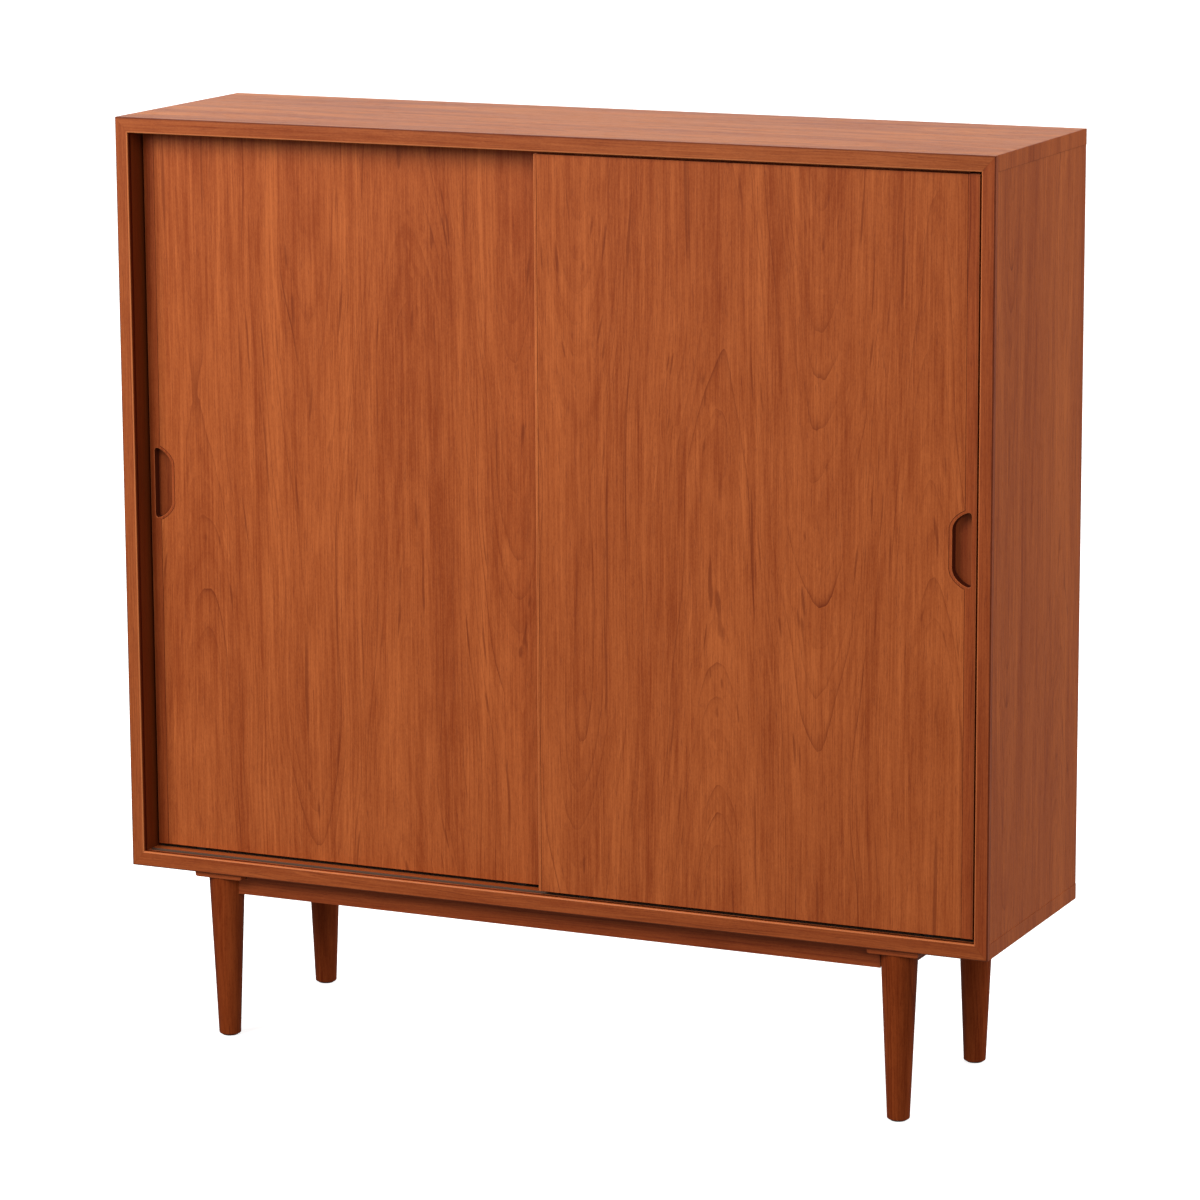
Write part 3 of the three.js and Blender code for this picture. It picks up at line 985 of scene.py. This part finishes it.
class SIDEBOARD_OT_base(bpy.types.Operator):
    """Legs, their plates and glides, and the rails between them"""

    bl_idname = "sideboard.base"
    bl_label = "Base"

    def execute(self, context):
        sizes = context.scene.sideboard_sizes
        # The rounded edges of the plates and rails get a painted highlight.
        plate_edges = evenly(PLATE_ARRIS, wear=0.3)
        rail_edges = evenly(RAIL_ARRIS, wear=0.3)
        for row in ROWS:
            for side in SIDES:
                place = f"{row}_{side}"
                self.leg(sizes, place)
                eased(f"leg_plate_{place}", "base_wood_along_x", plate_edges, segments=3)
                eased(f"glide_{place}", "glide_plastic", evenly(MOULDED_ARRIS))
        for row in ROWS:
            eased(f"base_rail_{row}", "base_wood_along_x", rail_edges, segments=3)
        for side in SIDES:
            eased(f"base_rail_{side}", "base_wood_along_y", rail_edges, segments=3)
        return {"FINISHED"}

    def leg(self, sizes, place):
        node = f"leg_{place}"
        low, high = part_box(node)
        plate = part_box(f"leg_plate_{place}")[0].z
        top = (high.x - low.x) / 2
        foot = sizes.leg_foot_radius
        rounding = sizes.leg_foot_rounding
        ease = LEG_SHOULDER
        profile = [(0.0, low.z)]
        profile += quarter((foot - rounding, low.z + rounding), rounding, -90)
        profile += [(top - ease, plate - ease), (top - 2 * ease, plate)]
        profile += [(TENON_RADIUS, plate), (TENON_RADIUS, high.z), (0.0, high.z)]
        bm = turned(profile, sizes.turning_steps)
        axis = ((low.x + high.x) / 2, (low.y + high.y) / 2, 0)
        bmesh.ops.translate(bm, verts=bm.verts, vec=axis)
        finish_piece(bm, f"{node}_turned", "turned_wood", node)


# ---- stage ----

# The height that the softboxes are turned to, and how far the floor and the backdrop reach.
LIT_HEIGHT = 0.7
FLOOR_REACH = 60
BACKDROP_RADIUS = 55

# The camera's angle to the right of the front, its angle above the floor and its roll, what it
# looks at and from how far, and its lens and sensor in millimetres.
CAMERA_AZIMUTH = math.radians(24.494)
CAMERA_ELEVATION = math.radians(11.510)
CAMERA_ROLL = math.radians(-0.289)
CAMERA_DISTANCE = 6.419
CAMERA_TARGET = Vector((0.016, -0.022, 0.6045))
CAMERA_LENS = 150.1
CAMERA_SENSOR = 36
CAMERA_REACH = 200


class SIDEBOARD_OT_stage(bpy.types.Operator):
    """Pale floor, soft studio light and the camera"""

    bl_idname = "sideboard.stage"
    bl_label = "Stage"

    def execute(self, context):
        self.floor()
        self.backdrop()
        self.sun("second", source=(0.75, -0.80, 0.50), spread=32, strength=0.70)
        self.sun("overhead", source=(0.1, 0.35, 1.0), spread=60, strength=1.7)
        self.softbox("key", place=(-1.7, -2.5, 2.6), size=(1.9, 1.9), power=97)
        self.softbox("side", place=(3.1, 1.2, 2.7), size=(1.6, 1.6), power=42)
        self.softbox("back", place=(-2.3, 4.0, 2.1), size=(4.6, 1.6), power=19)
        self.world(strength=0.22)
        self.camera()
        context.scene.view_settings.view_transform = "Standard"
        return {"FINISHED"}

    def floor(self):
        bm = bmesh.new()
        bmesh.ops.create_grid(bm, x_segments=1, y_segments=1, size=FLOOR_REACH)
        self.set_piece("floor", bm, grey=0.75, glow=0.80)

    def backdrop(self):
        """A white dome far behind everything, so that a low view ends in white too."""
        bm = bmesh.new()
        bmesh.ops.create_icosphere(bm, subdivisions=3, radius=BACKDROP_RADIUS)
        bmesh.ops.reverse_faces(bm, faces=bm.faces)
        dome = self.set_piece("backdrop", bm, grey=0.0, glow=1.0)
        dome.visible_shadow = False

    def set_piece(self, name, bm, grey, glow):
        """A pale piece of the stage that throws no light back onto the sideboard."""
        values = {"Base Color": (grey, grey, grey, 1.0), "Roughness": 0.9}
        values.update({"Emission Color": (1.0, 1.0, 1.0, 1.0), "Emission Strength": glow})
        values["Specular IOR Level"] = 0.0
        piece = add_mesh(name, bm, Finish(f"pale_{name}").surface(values))
        piece.visible_diffuse = False
        piece.visible_glossy = False
        piece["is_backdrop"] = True
        return piece

    def sun(self, name, source, spread, strength):
        """A wide soft light that comes from the direction of source."""
        data = bpy.data.lights.new(name, "SUN")
        data.angle = math.radians(spread)
        data.energy = strength
        lamp = add_object(name, data)
        lamp.rotation_euler = Vector(source).to_track_quat("Z", "Y").to_euler()

    def softbox(self, name, place, size, power):
        """A rectangular lit panel that faces the sideboard."""
        data = bpy.data.lights.new(name, "AREA")
        data.shape = "RECTANGLE"
        data.size, data.size_y = size
        data.energy = power
        lamp = add_object(name, data)
        lamp.location = place
        to_target = Vector((0, 0, LIT_HEIGHT)) - Vector(place)
        lamp.rotation_euler = to_target.to_track_quat("-Z", "Y").to_euler()

    def world(self, strength):
        world = bpy.data.worlds.new("studio")
        world.use_nodes = True
        background = world.node_tree.nodes["Background"]
        background.inputs["Color"].default_value = (1.0, 1.0, 1.0, 1.0)
        background.inputs["Strength"].default_value = strength
        bpy.context.scene.world = world

    def camera(self):
        """A long lens, to the right of the front and a little above it."""
        cos_side, sin_side = math.cos(CAMERA_AZIMUTH), math.sin(CAMERA_AZIMUTH)
        cos_up, sin_up = math.cos(CAMERA_ELEVATION), math.sin(CAMERA_ELEVATION)
        cos_roll, sin_roll = math.cos(CAMERA_ROLL), math.sin(CAMERA_ROLL)
        back = Vector((sin_side * cos_up, -cos_side * cos_up, sin_up))
        level = Vector((cos_side, sin_side, 0))
        upright = back.cross(level)
        right = level * cos_roll + upright * sin_roll
        up = upright * cos_roll - level * sin_roll
        data = bpy.data.cameras.new("camera")
        data.sensor_width = CAMERA_SENSOR
        data.lens = CAMERA_LENS
        data.clip_end = CAMERA_REACH
        camera = add_object("camera", data)
        turn = Matrix((right, up, back)).transposed().to_4x4()
        camera.matrix_world = Matrix.Translation(CAMERA_TARGET + back * CAMERA_DISTANCE) @ turn
        bpy.context.scene.camera = camera


class SIDEBOARD_PT_panel(bpy.types.Panel):
    """Lists the sideboard's pieces in the sidebar"""

    bl_idname = "SIDEBOARD_PT_panel"
    bl_label = "Sideboard"
    bl_space_type = "VIEW_3D"
    bl_region_type = "UI"
    bl_category = "Sideboard"

    def draw(self, context):
        for operator in OPERATORS:
            self.layout.operator(operator.bl_idname)
        for group in (context.scene.sideboard_sizes, context.scene.sideboard_finish):
            for name in group.bl_rna.properties.keys():
                if name not in ("rna_type", "name"):
                    self.layout.prop(group, name)


OPERATORS = (
    SIDEBOARD_OT_carcass,
    SIDEBOARD_OT_front_frame,
    SIDEBOARD_OT_shelves,
    SIDEBOARD_OT_doors,
    SIDEBOARD_OT_running_gear,
    SIDEBOARD_OT_base,
    SIDEBOARD_OT_stage,
)
CLASSES = (SideboardSizes, SideboardFinish, *OPERATORS, SIDEBOARD_PT_panel)


def register():
    for cls in CLASSES:
        bpy.utils.register_class(cls)
    bpy.types.Scene.sideboard_sizes = bpy.props.PointerProperty(type=SideboardSizes)
    bpy.types.Scene.sideboard_finish = bpy.props.PointerProperty(type=SideboardFinish)


def unregister():
    del bpy.types.Scene.sideboard_finish
    del bpy.types.Scene.sideboard_sizes
    for cls in reversed(CLASSES):
        bpy.utils.unregister_class(cls)


def main():
    register()
    bpy.ops.sideboard.carcass()
    bpy.ops.sideboard.front_frame()
    bpy.ops.sideboard.shelves()
    bpy.ops.sideboard.doors()
    bpy.ops.sideboard.running_gear()
    bpy.ops.sideboard.base()
    bpy.ops.sideboard.stage()
    boxes = {"cad": CAD_BOX, "visual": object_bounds()}
    plain = {name: [list(low), list(high)] for name, (low, high) in boxes.items()}


if __name__ == "__main__":
    main()
